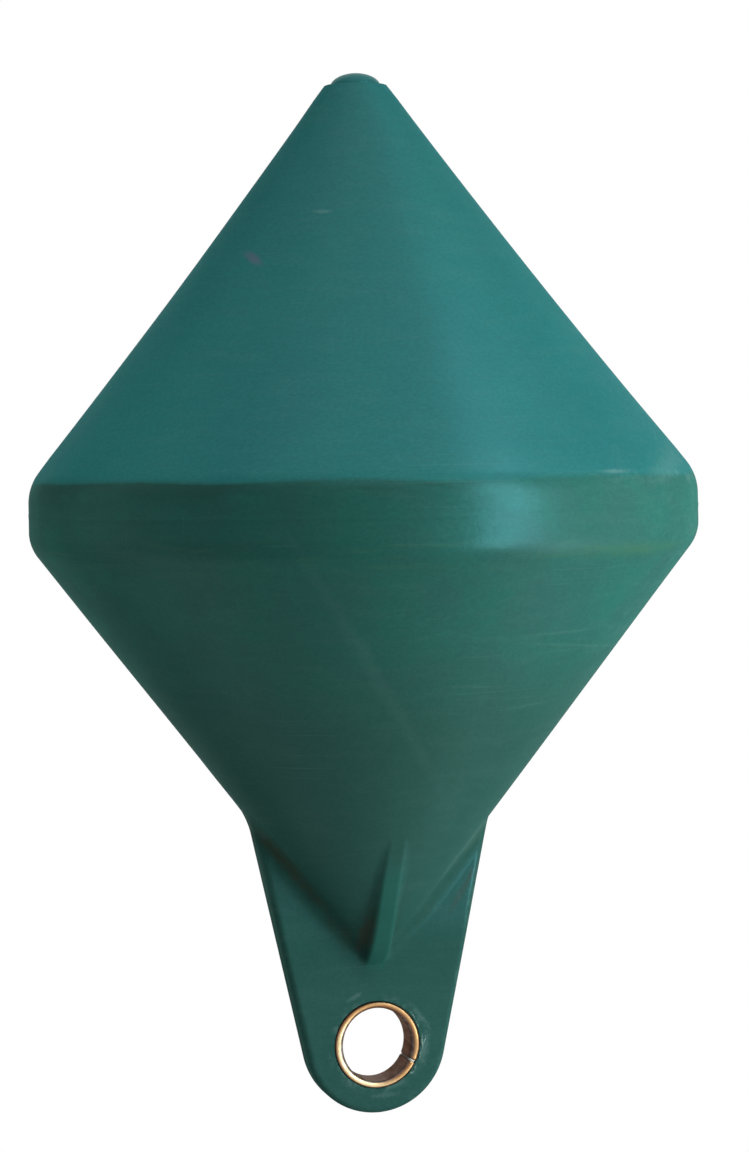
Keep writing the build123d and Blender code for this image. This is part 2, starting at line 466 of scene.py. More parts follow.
# %% Build the sleeve's rings
def half_sleeve(edge_points, side):
    """Rings from a window's edge to the eye's wall, on the front (-1) or the back (+1).

    The first rings slide in a straight line from the edge's points to the lip's circle,
    at the same angles about the eye. The lip's rings follow a quarter circle from the
    face to the wall.
    """
    up = edge_points[:, 2] - EYE_Z
    angle = np.arctan2(up, edge_points[:, 0])
    lip_radius = EYE_RADIUS + EYE_LIP_ROUND
    face = side * LUG_HALF_THICKNESS
    circle = np.stack([np.cos(angle), 0 * angle, np.sin(angle)], 1)
    on_lip = circle * lip_radius + np.array([0, face, EYE_Z])
    share = np.linspace(0, 1, 7)[1:, None, None]
    slide = edge_points[None] * (1 - share) + on_lip[None] * share
    bend = np.radians(np.linspace(0, 90, 6))[1:, None, None]
    lip = (circle[None] * (lip_radius - EYE_LIP_ROUND * np.sin(bend))
           + np.array([0, 1, 0]) * (face - side * EYE_LIP_ROUND * (1 - np.cos(bend)))
           + np.array([0, 0, EYE_Z]))
    return np.concatenate([slide, lip])


front_sleeve = half_sleeve(skin_grid[front_edge], -1)
back_sleeve = half_sleeve(skin_grid[back_edge], 1)
middle_ring = (front_sleeve[-1] + back_sleeve[-1])[None] / 2
sleeve = np.concatenate([front_sleeve, middle_ring, back_sleeve[::-1]])
print("sleeve:", sleeve.shape)

# %% [markdown]
# ## From arrays to a mesh
#
# A grid's faces follow from its numbering: each joins a point to its neighbour along the
# row, the one above that, and the one above itself. Every piece of this lesson becomes a
# mesh by the same helper. It also has Blender turn all faces outwards, so a grid may be
# numbered either way round.

# %% Faces of a grid that closes round
def grid_faces(numbers):
    """Four-sided faces between neighbouring rows and columns of a grid of numbers."""
    next_along = np.roll(numbers, -1, 1)
    corners = (numbers[:-1], next_along[:-1], next_along[1:], numbers[1:])
    return np.stack([corner.ravel() for corner in corners], 1)


def fan_faces(ring, middle):
    """Triangles from each side of a closed ring to one point in its middle."""
    return np.stack([ring, np.roll(ring, -1), np.full(len(ring), middle)], 1)


def numbered(grid, first_number=0):
    """The numbers of a grid's points, row by row."""
    return first_number + np.arange(grid[..., 0].size).reshape(grid.shape[:2])


def closed_tube(grid, middles=None, first_number=0):
    """Points and faces of a tube with a fan over each end. A fan meets in the middle of
    its ring unless other middles are given."""
    if middles is None:
        middles = grid[[0, -1]].mean(1)
    numbers = numbered(grid, first_number)
    last = first_number + numbers.size
    points = np.concatenate([grid.reshape(-1, 3), middles])
    faces = [grid_faces(numbers), fan_faces(numbers[0], last), fan_faces(numbers[-1], last + 1)]
    return points, faces

# %% The piece helper
def new_object(name, data):
    """An object that shows the given data, put into the scene."""
    thing = bpy.data.objects.new(name, data)
    bpy.context.scene.collection.objects.link(thing)
    return thing


def add_piece(name, points, face_groups, attributes=None):
    """A smooth mesh object from points and groups of faces, riding on the buoy."""
    mesh = bpy.data.meshes.new(name)
    faces = [face for group in face_groups for face in group.tolist()]
    mesh.from_pydata(points, [], faces)
    work = bmesh.new()
    work.from_mesh(mesh)
    bmesh.ops.recalc_face_normals(work, faces=work.faces)
    work.to_mesh(mesh)
    work.free()
    for attribute, values in (attributes or {}).items():
        layer = mesh.attributes.new(attribute, "FLOAT", "POINT")
        layer.data.foreach_set("value", values.astype(np.float32))
    mesh.shade_smooth()
    piece = new_object(name, mesh)
    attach(piece, "root")
    triangles = sum(len(group) * (group.shape[1] - 2) for group in face_groups)
    print(f"{name}: {len(points)} points, {triangles} triangles")
    return piece

# %% Number the skin's points and leave the windows out
skin_numbers = numbered(skin_grid)
face_kept = np.ones((ROWS - 1, COLUMNS), bool)
point_kept = np.ones((ROWS, COLUMNS), bool)
for middle_column in (FRONT_COLUMN, BACK_COLUMN):
    left, right = middle_column - WINDOW_COLUMNS, middle_column + WINDOW_COLUMNS
    face_kept[bottom_row:top_row, left:right] = False
    point_kept[bottom_row + 1:top_row, left + 1:right] = False

skin_faces = grid_faces(skin_numbers)[face_kept.ravel()]
sleeve_numbers = numbered(sleeve, skin_numbers.size)
sleeve_faces = grid_faces(np.concatenate([skin_numbers[front_edge][None], sleeve_numbers,
                                          skin_numbers[back_edge][None]]))
bottom_number = skin_numbers.size + sleeve_numbers.size
bottom_faces = fan_faces(skin_numbers[0], bottom_number)
pocket_faces = fan_faces(skin_numbers[-1], bottom_number + 1)
print(f"the two windows leave out {(~face_kept).sum()} faces")

# %% Drop the points that no face uses
all_points = np.concatenate([skin_grid.reshape(-1, 3), sleeve.reshape(-1, 3),
                             [(0, 0, lug_low.z), (0, 0, POCKET_Z)]])
used = np.concatenate([point_kept.ravel(), np.ones(sleeve_numbers.size + 2, bool)])
new_number = np.cumsum(used) - 1
skin_points = all_points[used]
skin_groups = [new_number[group] for group in (skin_faces, sleeve_faces,
                                               bottom_faces, pocket_faces)]
print(f"{len(all_points) - len(skin_points)} points dropped")

# %% [markdown]
# ## Where shade is painted and edges wear
#
# Shade is painted into the corners between the forms, and knocks and ropes wear the
# edges. A material can look for both while it renders, but that is slow and is lost when
# the model is exported. The distances are at hand, so every point of the skin gets two
# values from them here, and the material reads them as attributes.

# %% Build the skin with its corners and edges
LUG_RUNS_OUT_Z = -0.188      # where the lug's side edges begin to run into the cone


def corner_share(points, reach=0.015):
    """1 in the corners where the cone, the lug and the ridges meet, fading to 0 at the
    given reach. A point in a corner is near two of the three forms at once, so the second
    smallest of its three distances says how deep in a corner it is. Where a ridge or the
    lug has faded into the cone there is no corner any more."""
    x, y, z = points.T
    bleached_and_lit = 0.02 * np.clip((z - RIDGE_FOOT_Z) / RIDGE_HEIGHT, 0, 1) ** 1.5
    run_out = 0.02 * np.clip((z - LUG_RUNS_OUT_Z) / 0.012, 0, 1)
    distances = np.sort(np.stack([np.abs(cone_distance(x, y, z)),
                                  np.maximum(lug_distance(x, y, z), 0) + run_out,
                                  np.maximum(ridge_distance(x, y, z), 0) + bleached_and_lit]), 0)
    return np.clip(1 - distances[1] / reach, 0, 1)


def beside(distance, reach):
    """1 at an edge, falling off on both sides as a bell curve of the given reach."""
    return np.exp(-(distance / reach) ** 2)


def edge_share(points):
    """1 along the rounded edges of the lug and the ridges and 0.8 where the band turns
    into the upper cone, the places that are knocked first, fading to 0 beside them."""
    x, y, z = points.T
    from_lug_edge = np.hypot(lug_outline_distance(x, z), np.abs(y) - LUG_HALF_THICKNESS)
    on_lug = beside(from_lug_edge, 0.0042) * (z < CONE_POINT_Z + 0.05)
    from_ridge_edge = np.hypot(np.abs(x) - RIDGE_HALF_WIDTH + 0.0008, ridge_distance(x, y, z))
    proud = np.clip((cone_distance(x, y, z) - 0.003) / 0.004, 0, 1)
    on_ridge = proud * beside(from_ridge_edge, 0.0016)
    from_band_edge = np.hypot(np.hypot(x, y) - BAND_RADIUS + 0.004, z - BAND_ABOVE)
    return np.maximum(np.maximum(on_lug, on_ridge), 0.8 * beside(from_band_edge, 0.006))


moulding = add_piece("float_moulding", skin_points, skin_groups,
                     {"corner": corner_share(skin_points), "edge": edge_share(skin_points)})
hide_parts("float_shell", "mooring_lug", "gusset_ridges")

# %% [markdown]
# ## The filler plug
#
# The plug is a domed cap over a short stem. It is turned from an outline, as the upper
# cone is. The dome lies between a round arc and an ellipse, nearer to the ellipse, with a
# thin straight edge where it sits on the cone's cut-off top.

# %% Turn the plug
PLUG_EDGE_HEIGHT = 0.0003
PLUG_EDGE_BEVEL = 0.0002
PLUG_LIFT = 0.00005          # between the plug's head and the cut-off top
PLUG_STEM_RADIUS = PLUG_HOLE_RADIUS - 0.0002
PLUG_COLUMNS = 96
DOME_ROUND_SHARE = 0.3       # how much of the dome's outline is the arc, not the ellipse
climb = np.radians(np.linspace(0, 88, 18))
dome_height = PLUG_TOP_Z - TOP_Z - PLUG_EDGE_HEIGHT
arc_radius = (PLUG_RADIUS ** 2 + dome_height ** 2) / (2 * dome_height)
rise = dome_height * np.sin(climb)
round_arc = np.sqrt(arc_radius ** 2 - (rise + arc_radius - dome_height) ** 2)
ellipse = PLUG_RADIUS * np.cos(climb)
dome_radii = DOME_ROUND_SHARE * round_arc + (1 - DOME_ROUND_SHARE) * ellipse
dome = np.stack([dome_radii, TOP_Z + PLUG_EDGE_HEIGHT + rise], 1)
plug_outline = np.concatenate([
    [(PLUG_STEM_RADIUS, PLUG_BOTTOM_Z), (PLUG_STEM_RADIUS, TOP_Z + PLUG_LIFT),
     (PLUG_RADIUS - PLUG_EDGE_BEVEL, TOP_Z + PLUG_LIFT),
     (PLUG_RADIUS, TOP_Z + PLUG_EDGE_BEVEL)], dome])
plug_points, plug_groups = closed_tube(turned(plug_outline, PLUG_COLUMNS),
                                       [(0, 0, PLUG_BOTTOM_Z), (0, 0, PLUG_TOP_Z)])
plug = add_piece("plug_cap", plug_points, plug_groups)
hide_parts("filler_plug")

# %% [markdown]
# ## The mooring bush
#
# The bush is a brass strip bent round until its ends nearly meet. One section, a
# rectangle with rounded corners, is carried round the eye from one end of the strip to
# the other. It is not a perfect circle: the bore is a little narrower across than it is
# high, as it is in a strip that was bent by hand.

# %% Carry the strip's section round the eye
BUSH_MOUTH_ROUND = 0.0024
BUSH_RIM_ROUND = 0.0011
BUSH_GAP = 0.0017            # between the strip's ends
BUSH_GAP_ANGLE = np.radians(-27)    # about the eye, from the right and upwards
BUSH_OVAL = 0.0005           # how much nearer the bore is at its sides, and further at top and bottom
BUSH_WALL = BUSH_RADIUS - BUSH_BORE
BUSH_STATIONS = 220


def strip_section():
    """The strip's section as depth along the bore and height in the wall, from 0 at the
    bore: four arcs, one at each corner, wide at the bore's mouths."""
    turn = np.linspace(0, np.pi / 2, 7)
    arcs = []
    for depth_sign, wall_sign, start in ((1, -1, 1.5), (1, 1, 0), (-1, 1, 0.5), (-1, -1, 1)):
        radius = BUSH_MOUTH_ROUND if wall_sign < 0 else BUSH_RIM_ROUND
        angles = start * np.pi + turn
        depth = depth_sign * (BUSH_HALF_LENGTH - radius) + radius * np.cos(angles)
        height = radius if wall_sign < 0 else BUSH_WALL - radius
        arcs.append(np.stack([depth, height + radius * np.sin(angles)], 1))
    return np.concatenate(arcs)


section = strip_section()
half_gap_angle = BUSH_GAP / 2 / (BUSH_BORE + BUSH_WALL / 2)
round_angles = BUSH_GAP_ANGLE + np.linspace(half_gap_angle, 2 * np.pi - half_gap_angle,
                                            BUSH_STATIONS)[:, None]
depth, height = section[None, :, 0], section[None, :, 1]
out_of_round = -BUSH_OVAL * np.cos(2 * round_angles) * (1 - height / BUSH_WALL)
strip_radius = BUSH_BORE + height + out_of_round
strip_grid = np.stack([strip_radius * np.cos(round_angles), depth + 0 * round_angles,
                       EYE_Z + strip_radius * np.sin(round_angles)], 2)
strip_points, strip_groups = closed_tube(strip_grid)
bush = add_piece("eye_bush", strip_points, strip_groups)
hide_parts("mooring_bush")

# %% [markdown]
# ## Squeezed plastic round the bush
#
# Where the bush was pressed in, the plastic turned pale and rose in thin ragged curls
# beside the rim, and a little of it was squeezed into the strip's gap. Each curl is a
# small oval section carried along an arc, half of it sunk in the lug, swelling and
# thinning as it goes. Sculpting would do as well, but a seed makes the same curl again.

# %% Carry a ragged section along an arc
def curl(start, end, distance, width, height, seed, stations=64):
    """An oval bead half sunk in the lug's front face, from one angle about the eye to
    another. Sine waves drawn from the seed change its width, height and distance, and
    both ends shrink to almost nothing."""
    angle = np.radians(np.linspace(start, end, stations))
    along = angle[:, None] * distance * np.array([[1.0, 0, 0]])
    ragged = waves(along, (0.0021, 0.0034, 0.0055, 0.0013), seed)
    ends = np.sin(np.pi * np.linspace(0.02, 0.98, stations)) ** 0.5
    swell = np.maximum(ends * (0.55 + 0.9 * ragged), 0.08)
    across = np.linspace(0, 2 * np.pi, 9)[:-1]
    radius = (distance + 0.0006 * waves(along, (0.004, 0.0061), seed + 1)[:, None]
              + width * swell[:, None] * np.cos(across)[None])
    out = height * swell[:, None] * np.sin(across)[None]
    return np.stack([radius * np.cos(angle)[:, None], -LUG_HALF_THICKNESS - out,
                     EYE_Z + radius * np.sin(angle)[:, None]], 2)

# %% Build the curls as one piece
# Columns: start and end angle in degrees, distance from the eye's middle, half width,
# height, seed. Angles are as seen from the front, from the right and upwards.
CURLS = (
    (20, 44, 0.0279, 0.00085, 0.0007, 11),
    (-22, 10, 0.0278, 0.00095, 0.0009, 12),
    (-3, 8, 0.0296, 0.00070, 0.0005, 13),
    (-47, -31, 0.0277, 0.00070, 0.0007, 14),
)
curl_points, curl_groups = [], []
point_count = 0
for row in CURLS:
    points, faces = closed_tube(curl(*row), first_number=point_count)
    curl_points.append(points)
    curl_groups += faces
    point_count += len(points)
curls = add_piece("plastic_curls", np.concatenate(curl_points), curl_groups)

# %% Fill the strip's gap
def gap_filling(stations=30):
    """A thin wall between the strip's ends: a flat oval section carried through the bore,
    its height and its place across the gap wandering a little with depth."""
    share = np.linspace(0, 1, stations)[:, None]
    depth = -BUSH_HALF_LENGTH * (0.97 - 1.94 * share)
    around = np.linspace(0, 2 * np.pi, 17)[:-1][None]
    along = np.sign(np.cos(around)) * np.abs(np.cos(around)) ** 0.35
    across = np.sign(np.sin(around)) * np.abs(np.sin(around)) ** 0.6
    mouth = np.clip(np.minimum(share, 1 - share) / 0.12, 0, 1) ** 0.5
    half_wall = BUSH_WALL / 2 * (0.55 + 0.40 * mouth + 0.02 * np.cos(9 * share))
    radial = BUSH_BORE + BUSH_WALL / 2 + half_wall * along
    side = BUSH_GAP / 2 * 0.97 * across + 0.0001 * np.sin(7 * share)
    x = radial * np.cos(BUSH_GAP_ANGLE) - side * np.sin(BUSH_GAP_ANGLE)
    z = EYE_Z + radial * np.sin(BUSH_GAP_ANGLE) + side * np.cos(BUSH_GAP_ANGLE)
    return np.stack([x, depth + 0 * x, z], 2)


filling_points, filling_groups = closed_tube(gap_filling())
filling = add_piece("gap_filling", filling_points, filling_groups)

# %% [markdown]
# ## Shared patterns
#
# Every finish on this buoy is built from a few patterns, each made once as a node group:
# soft blotches, fine scratches, and single marks at a given place. They read the
# object's own coordinates in metres and give values only. The colours and the shader stay
# in each material. A painted picture could hold the same dirt, but patterns have no seams
# and stay sharp from near by.

# %% Helpers for node trees
FLOAT, VECTOR = "NodeSocketFloat", "NodeSocketVector"


def fill(tree, node, values):
    """Sockets of a node by name or number, linked to another socket or set to a value."""
    for socket, value in values.items():
        if isinstance(value, bpy.types.NodeSocket):
            tree.links.new(value, node.inputs[socket])
        else:
            node.inputs[socket].default_value = value


def add_node(tree, kind, values=None, **settings):
    """A new node with its plain settings, and with its sockets filled."""
    node = tree.nodes.new(kind)
    for setting, value in settings.items():
        setattr(node, setting, value)
    fill(tree, node, values or {})
    return node


def math(tree, operation, first, second=0.0):
    """The result of one arithmetic node."""
    return add_node(tree, "ShaderNodeMath", {0: first, 1: second},
                    operation=operation).outputs[0]


def product(tree, first, *others):
    """Values multiplied with each other. For masks, that is the part they share."""
    for other in others:
        first = math(tree, "MULTIPLY", first, other)
    return first


def vector_math(tree, operation, first, second=(0, 0, 0)):
    """The result of one vector node, which is a plain value for a length or a dot product."""
    output = "Value" if operation in ("LENGTH", "DOT_PRODUCT") else "Vector"
    return add_node(tree, "ShaderNodeVectorMath", {0: first, 1: second},
                    operation=operation).outputs[output]


def axes(tree, vector):
    """The X, Y and Z of a vector."""
    return add_node(tree, "ShaderNodeSeparateXYZ", {0: vector}).outputs


def step(tree, value, low, high, before=0.0, after=1.0):
    """A smooth step: one value below the low end, the other above the high end."""
    return add_node(tree, "ShaderNodeMapRange",
                    {0: value, 1: low, 2: high, 3: before, 4: after},
                    interpolation_type="SMOOTHSTEP").outputs[0]


def between(tree, value, start, full, fade, end):
    """A smooth band: 0 up to the start, 1 from full to fade, and 0 again from the end."""
    return product(tree, step(tree, value, start, full), step(tree, value, fade, end, 1, 0))


def blend(tree, share, first, second):
    """Two colours mixed by a share."""
    return add_node(tree, "ShaderNodeMix", {0: share, 6: first, 7: second},
                    data_type="RGBA").outputs[2]


def noise(tree, place, scale, detail, roughness=0.5, distortion=0.0):
    """Fractal noise, most of it near one half."""
    return add_node(tree, "ShaderNodeTexNoise",
                    {"Vector": place, "Scale": scale, "Detail": detail,
                     "Roughness": roughness, "Distortion": distortion}).outputs[0]


def bump(tree, height, strength, distance, under=None, **settings):
    """A normal tilted by a pattern of heights, laid over another normal if one is given."""
    values = {"Height": height, "Strength": strength, "Distance": distance}
    if under is not None:
        values["Normal"] = under
    return add_node(tree, "ShaderNodeBump", values, **settings).outputs[0]

# %% Helpers for node groups
def new_group(name, inputs):
    """A node group that gives one value, Mask: its tree, its input node's sockets, and a
    function that links a result to the output."""
    tree = bpy.data.node_groups.new(name, "ShaderNodeTree")
    for title, (kind, value) in inputs.items():
        tree.interface.new_socket(title, in_out="INPUT", socket_type=kind).default_value = value
    tree.interface.new_socket("Mask", in_out="OUTPUT", socket_type=FLOAT)
    start = tree.nodes.new("NodeGroupInput")
    end = tree.nodes.new("NodeGroupOutput")
    return tree, start.outputs, lambda result: tree.links.new(result, end.inputs["Mask"])


def use_group(tree, group, values):
    """The mask of a node group that is placed in a tree with its inputs set."""
    return add_node(tree, "ShaderNodeGroup", values, node_tree=group).outputs["Mask"]

# %% [markdown]
# ### Blotches
#
# Fractal noise, cut between a low and a high value and smoothed. One group serves dirt,
# fading and tarnish, because they differ only in size and in where the cut lies. The
# stretch makes streaks of them.

# %% Group: blotches
blotches, given, gives = new_group("Blotches", {
    "Place": (VECTOR, (0, 0, 0)), "Stretch": (VECTOR, (1, 1, 1)), "Scale": (FLOAT, 20),
    "Detail": (FLOAT, 4), "Low": (FLOAT, 0.35), "High": (FLOAT, 0.65)})
stretched = add_node(blotches, "ShaderNodeMapping",
                     {"Vector": given["Place"], "Scale": given["Stretch"]}).outputs[0]
clouds = noise(blotches, stretched, given["Scale"], given["Detail"], 0.58, 0.4)
gives(step(blotches, clouds, given["Low"], given["High"]))


def blotched(tree, place, scale, detail=4, low=0.35, high=0.65, stretch=(1, 1, 1)):
    """The mask of the blotches, placed in a tree."""
    return use_group(tree, blotches, {"Place": place, "Stretch": stretch, "Scale": scale,
                                      "Detail": detail, "Low": low, "High": high})


print("group:", blotches.name)

# %% [markdown]
# ### Scratches
#
# Noise stretched hugely along one direction gives long thin lines. Only its highest
# values are kept, and a second, coarser noise breaks the lines up, since a real scratch
# starts and stops.

# %% Group: scratches
scratches, given, gives = new_group("Scratches", {
    "Place": (VECTOR, (0, 0, 0)), "Turn": (VECTOR, (0, 0, 0)),
    "Stretch": (VECTOR, (6, 6, 900)), "Amount": (FLOAT, 0.1), "Patches": (FLOAT, 30)})
laid = add_node(scratches, "ShaderNodeMapping",
                {"Vector": given["Place"], "Rotation": given["Turn"],
                 "Scale": given["Stretch"]}).outputs[0]
threshold = math(scratches, "SUBTRACT", 0.74, given["Amount"])
thin_line = step(scratches, noise(scratches, laid, 1, 2), threshold,
                 math(scratches, "ADD", threshold, 0.06))
patches = step(scratches, noise(scratches, given["Place"], given["Patches"], 3), 0.46, 0.64)
gives(product(scratches, thin_line, patches))
print("group:", scratches.name)

# %% [markdown]
# ### One mark
#
# A single nick, smudge or dent has its own place. The group measures an oval round a
# centre, turned in the plane of the lug, and roughens its edge with grain. It keeps
# to the front, or the mark would show on the back as well.

# %% Group: one mark
one_mark, given, gives = new_group("One mark", {
    "Place": (VECTOR, (0, 0, 0)), "Centre": (VECTOR, (0, 0, 0)), "Half length": (FLOAT, 0.005),
    "Half width": (FLOAT, 0.002), "Angle": (FLOAT, 0), "Softness": (FLOAT, 0.3),
    "Ragged": (FLOAT, 0.6), "Grain": (FLOAT, 500)})
from_centre = vector_math(one_mark, "SUBTRACT", given["Place"], given["Centre"])
laid = add_node(one_mark, "ShaderNodeVectorRotate",
                {"Vector": from_centre, "Axis": (0, 1, 0), "Angle": given["Angle"]}).outputs[0]
laid_axes = axes(one_mark, laid)
along = math(one_mark, "DIVIDE", laid_axes[0], given["Half length"])
across = math(one_mark, "DIVIDE", laid_axes[2], given["Half width"])
oval = math(one_mark, "SQRT", math(one_mark, "ADD", product(one_mark, along, along),
                                   product(one_mark, across, across)))
grain = math(one_mark, "SUBTRACT", noise(one_mark, given["Place"], given["Grain"], 3), 0.5)
shaken_oval = math(one_mark, "ADD", oval, product(one_mark, grain, given["Ragged"], 2))
inside = step(one_mark, shaken_oval, math(one_mark, "SUBTRACT", 1, given["Softness"]),
              math(one_mark, "ADD", 1, given["Softness"]), 1, 0)
in_front = math(one_mark, "LESS_THAN", axes(one_mark, given["Place"])[1], 0)
gives(product(one_mark, inside, in_front))
print("group:", one_mark.name)

# %% [markdown]
# ## Weathered polyethylene
#
# The real plastic is one dull blue-green, dyed right through. Sun has bleached the upper
# cone, down to a wavy edge where the band begins. The upper cone is also painted lighter
# there, as painted light from above, and painted darker towards its top, as painted shade.
# Painted shade lies under that edge on the shaded side and in a veil below it. Below the
# edge the colour is darker and greener, painted darker towards the lug as painted shade,
# and greyer on the lug. Painted shade darkens the corners round the lug on the shaded
# side. Handling has left pale scuffs on the edges, a nick, and thin scratches, most of
# them level, from rubbing against a hull. A few single marks are painted highlights and
# painted shade. The colour is built up in that order, each layer a mask and a second
# colour, so that one can be changed without the others.

# %% Colours of the moulding
GREEN_ABOVE = (0.0210, 0.2010, 0.1910, 1)
GREEN_ABOVE_BLUER = (0.0220, 0.1820, 0.1840, 1)
# painted shade: darker green for the top of the upper cone
GREEN_TOP_SHADED = (0.0190, 0.1460, 0.1420, 1)
GREEN_BELOW = (0.0230, 0.1600, 0.1270, 1)
GREEN_BELOW_DULL = (0.0280, 0.1420, 0.1180, 1)
# painted shade: darker green towards the lug
GREEN_FOOT_SHADED = (0.0255, 0.1020, 0.0820, 1)
GREEN_LUG = (0.0340, 0.1230, 0.1030, 1)
OLIVE = (0.0550, 0.1750, 0.0980, 1)
CHALK = (0.2300, 0.3900, 0.3600, 1)
SLATE = (0.0900, 0.1450, 0.1950, 1)
BROWN = (0.0550, 0.0620, 0.0400, 1)
RUSTY = (0.0750, 0.0500, 0.0330, 1)
# dark grain, and painted shade under the band's edge, in a veil and in the corners
SOOT_AND_SHADE = (0.0130, 0.0420, 0.0360, 1)
SHEEN = (0.5, 0.92, 1.0, 1)      # colour that the plastic gives to what it mirrors

# %% Marks that the buoy has picked up, and painted highlights and shade
# Columns: name, x and z of the centre, half length, half width, angle in degrees,
# softness, raggedness, grain, colour, strength.
MARKS = (
    ("nick in the upper cone", -0.0772, 0.1528, 0.0042, 0.0024, -62, 0.7, 0.4, 500, SLATE, 0.85),
    ("short pale dash", -0.0380, 0.1790, 0.0036, 0.0010, -2, 0.9, 0.7, 500, CHALK, 0.24),
    ("long faint pale line", -0.0313, -0.0818, 0.0645, 0.0030, -54.3, 1.0, 1.0, 120, CHALK, 0.045),
    ("level scratch", 0.0799, -0.0619, 0.0180, 0.0006, 1, 1.0, 0.9, 400, CHALK, 0.09),
    ("long level scratch", 0.0905, -0.0705, 0.0330, 0.0006, -6, 1.0, 1.0, 400, CHALK, 0.07),
    ("scratch near the middle", 0.0296, -0.0912, 0.0130, 0.0006, -3, 1.0, 1.0, 400, CHALK, 0.08),
    ("scratch further down", 0.0685, -0.1051, 0.0160, 0.0006, 4, 1.0, 1.0, 400, CHALK, 0.07),
    ("white scuff on the edge", 0.1020, 0.0283, 0.0080, 0.0010, -1, 0.9, 0.8, 400, CHALK, 0.32),
    ("chalky patch", 0.1500, 0.0310, 0.0160, 0.0060, 20, 1.0, 1.2, 200, CHALK, 0.17),
    ("olive tint under the band", 0.1150, -0.0155, 0.0300, 0.0036, 0, 0.9, 1.0, 180, OLIVE, 0.50),
    ("brown smudge", 0.0540, -0.2262, 0.0130, 0.0016, 58, 0.9, 1.0, 260, RUSTY, 0.32),
    ("smaller smudge", 0.0606, -0.2150, 0.0045, 0.0012, 60, 0.9, 1.0, 260, RUSTY, 0.25),
    # brown painted shade along the left crease, and a painted shadow beside the ridge
    ("painted shade in the left crease", -0.0545, -0.2030, 0.0260, 0.0026, -50, 0.9, 1.2, 300, BROWN, 0.55),
    ("painted shadow beside the ridge", -0.0090, -0.2455, 0.0100, 0.0028, 85, 0.8, 1.0, 300, RUSTY, 0.50),
    # painted highlights along the right corner and on the lug's left edge
    ("painted highlight along the right corner", 0.0610, -0.1905, 0.0260, 0.0040, 46, 1.0, 0.5, 120, CHALK, 0.14),
    ("painted highlight on the left edge", -0.0700, -0.2080, 0.0230, 0.0010, -77, 0.9, 1.2, 300, CHALK, 0.35),
    ("stretched plastic by the rim", 0.0296, -0.3190, 0.0085, 0.0018, 80, 0.9, 1.4, 420, CHALK, 0.26),
    ("stretched plastic above it", 0.0262, -0.2990, 0.0070, 0.0014, -52, 0.9, 1.4, 420, CHALK, 0.22),
    ("pale fleck above the rim", -0.0134, -0.2857, 0.0045, 0.0012, 25, 0.9, 1.2, 420, CHALK, 0.22),
    ("pale fleck below the rim", 0.0041, -0.3462, 0.0060, 0.0014, 4, 0.9, 1.4, 420, CHALK, 0.20),
)

# %% Helpers for materials
def emptied_tree(owner):
    """The node tree of a material or a world, with nothing in it."""
    owner.use_nodes = True
    owner.node_tree.nodes.clear()
    return owner.node_tree


def new_material(name):
    """A material, its tree, its Principled shader, and the object's place in metres."""
    material = bpy.data.materials.new(name)
    tree = emptied_tree(material)
    shader = tree.nodes.new("ShaderNodeBsdfPrincipled")
    add_node(tree, "ShaderNodeOutputMaterial", {"Surface": shader.outputs[0]})
    return material, tree, shader, tree.nodes.new("ShaderNodeTexCoord").outputs["Object"]


def stain(tree, mask, strength, colour, stain_colour):
    """A colour with another laid over it, where the mask is and as strong as asked."""
    return blend(tree, product(tree, mask, strength), colour, stain_colour)


def flat_from_eye(tree, place):
    """The way from the eye's middle to a place, in the plane of the lug."""
    offset = vector_math(tree, "SUBTRACT", place, (0, 0, EYE_Z))
    return vector_math(tree, "MULTIPLY", offset, (1, 0, 1))

# %% The moulding's greens, from the plug down to the lug
FADE_EDGE_Z = 0.0262         # where the bleached and lighter-painted zone ends
FADE_EDGE_SOFTNESS = 0.0019
FADE_EDGE_WAVE = 0.008       # from the edge's lowest place to its highest, at most

plastic, tree, shader, place = new_material("weathered_polyethylene")
height = axes(tree, place)[2]
broad = blotched(tree, place, 7, 3)
cloudy = blotched(tree, place, 22, 6)
streaky = blotched(tree, place, 34, 7, 0.42, 0.8, stretch=(1, 1, 5))
grainy = blotched(tree, place, 420, 3, stretch=(1, 1, 1.8))

above = blend(tree, broad, GREEN_ABOVE, GREEN_ABOVE_BLUER)
# painted shade: the upper cone painted darker towards its top
above = blend(tree, step(tree, height, 0.04, 0.24, 0, 0.7), above, GREEN_TOP_SHADED)
below = blend(tree, cloudy, GREEN_BELOW, GREEN_BELOW_DULL)
# painted shade: the lower cone painted darker towards the lug
below = blend(tree, step(tree, height, -0.13, -0.04, 0.9, 0), below, GREEN_FOOT_SHADED)
below = blend(tree, step(tree, height, -0.30, -0.235, 1, 0), below, GREEN_LUG)
wave = product(tree, math(tree, "SUBTRACT", noise(tree, place, 9, 3), 0.5), FADE_EDGE_WAVE)
wavy_height = math(tree, "ADD", height, wave)
bleached_and_lit = step(tree, wavy_height, FADE_EDGE_Z - FADE_EDGE_SOFTNESS, FADE_EDGE_Z + FADE_EDGE_SOFTNESS)
# the upper cone: partly sun-bleached, partly painted light from above
colour = blend(tree, bleached_and_lit, below, above)
colour = stain(tree, streaky, 0.04, colour, CHALK)
colour = stain(tree, grainy, 0.16, colour, SOOT_AND_SHADE)
print("the greens are in place")

# %% Painted shade on the shaded side, under the faded edge and in a veil below it
SUNNY_SIDE = (0.97, -0.25, 0)    # level direction, to the right and a little forwards

outwards = vector_math(tree, "NORMALIZE", vector_math(tree, "MULTIPLY", place, (1, 1, 0)))
to_sun = vector_math(tree, "DOT_PRODUCT", outwards, SUNNY_SIDE)
